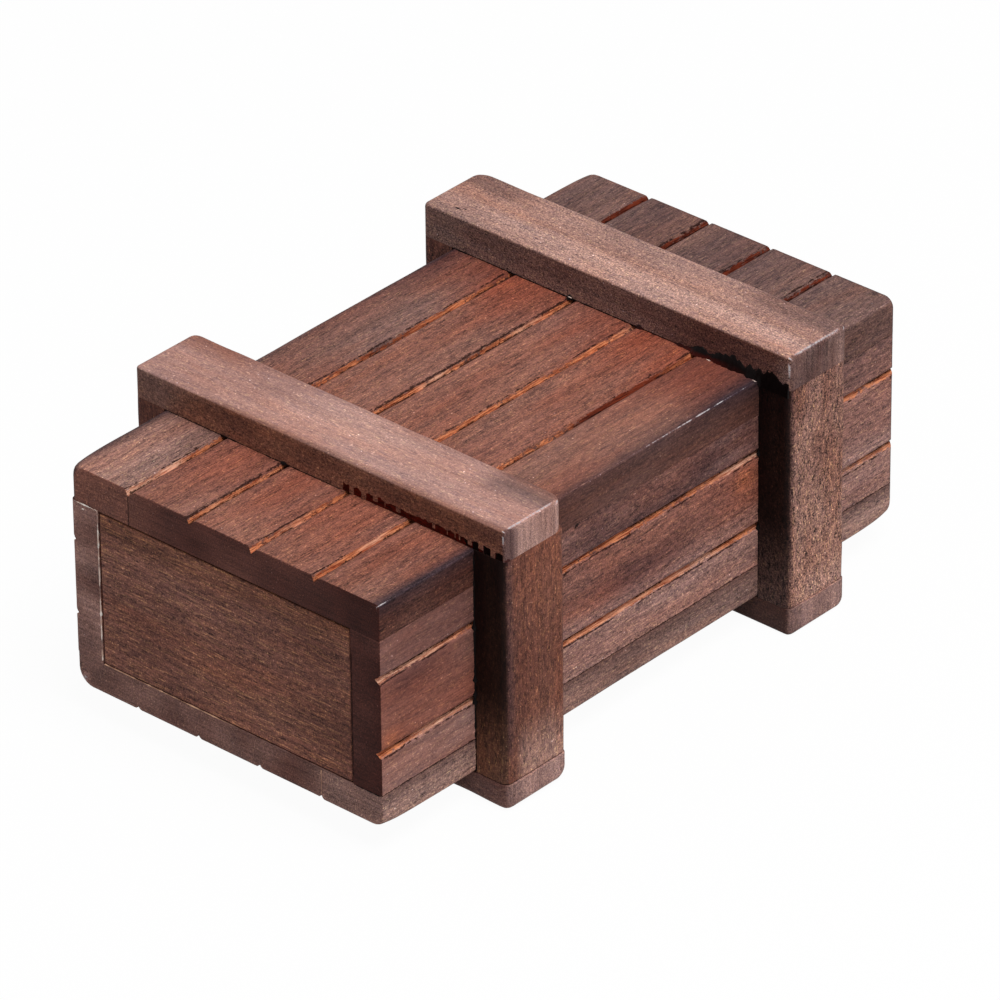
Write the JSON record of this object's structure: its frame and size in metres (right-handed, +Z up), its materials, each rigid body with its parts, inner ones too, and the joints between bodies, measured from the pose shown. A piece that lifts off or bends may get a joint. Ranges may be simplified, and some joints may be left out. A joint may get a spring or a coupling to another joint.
{
  "type": "wooden gift box",
  "caption": "Small crate-shaped wooden gift box with banded battens, a push-through tray inside and a sliding bottom batten that locks it.",
  "frame": {"origin": "middle of the box's footprint, level with the undersides of its bottom battens", "axes": "+X along the box from the pictured end to the far end, +Y across it away from the pictured long side, +Z up"},
  "size_m": [0.12, 0.076, 0.0501],
  "materials": {
    "stained_board": "dark reddish-brown stain on sanded wood, satin",
    "stained_batten": "dark brown stain on sanded wood, dull satin",
    "tray_wood": "brown stain on rougher wood, matt",
    "dowel": "bare wood, stained on its lower end"
  },
  "bodies": {
    "box": {"top_board": "stained_board", "top_board_strip": "stained_board", "bottom_board": "stained_board", "bottom_board_strip": "stained_board", "left_side_board": "stained_board", "right_side_board": "stained_board", "near_top_batten": "stained_batten", "near_left_batten": "stained_batten", "near_right_batten": "stained_batten", "far_top_batten": "stained_batten", "far_left_batten": "stained_batten", "far_right_batten": "stained_batten", "far_bottom_batten": "stained_batten"},
    "tray": {"tray_floor": "tray_wood", "tray_left_side": "tray_wood", "tray_right_side": "tray_wood", "tray_near_end": "tray_wood", "tray_far_end": "tray_wood"},
    "lock": {"sliding_lock_batten": "stained_batten", "lock_peg": "dowel"}
  },
  "joints": [
    {"name": "tray_slide", "type": "slide", "parent": "box", "child": "tray", "axis": [-1, 0, 0], "range_m": [0, 0.08]},
    {"name": "lock_slide", "type": "slide", "parent": "box", "child": "lock", "axis": [0, -1, 0], "range_m": [0, 0.005]}
  ]
}
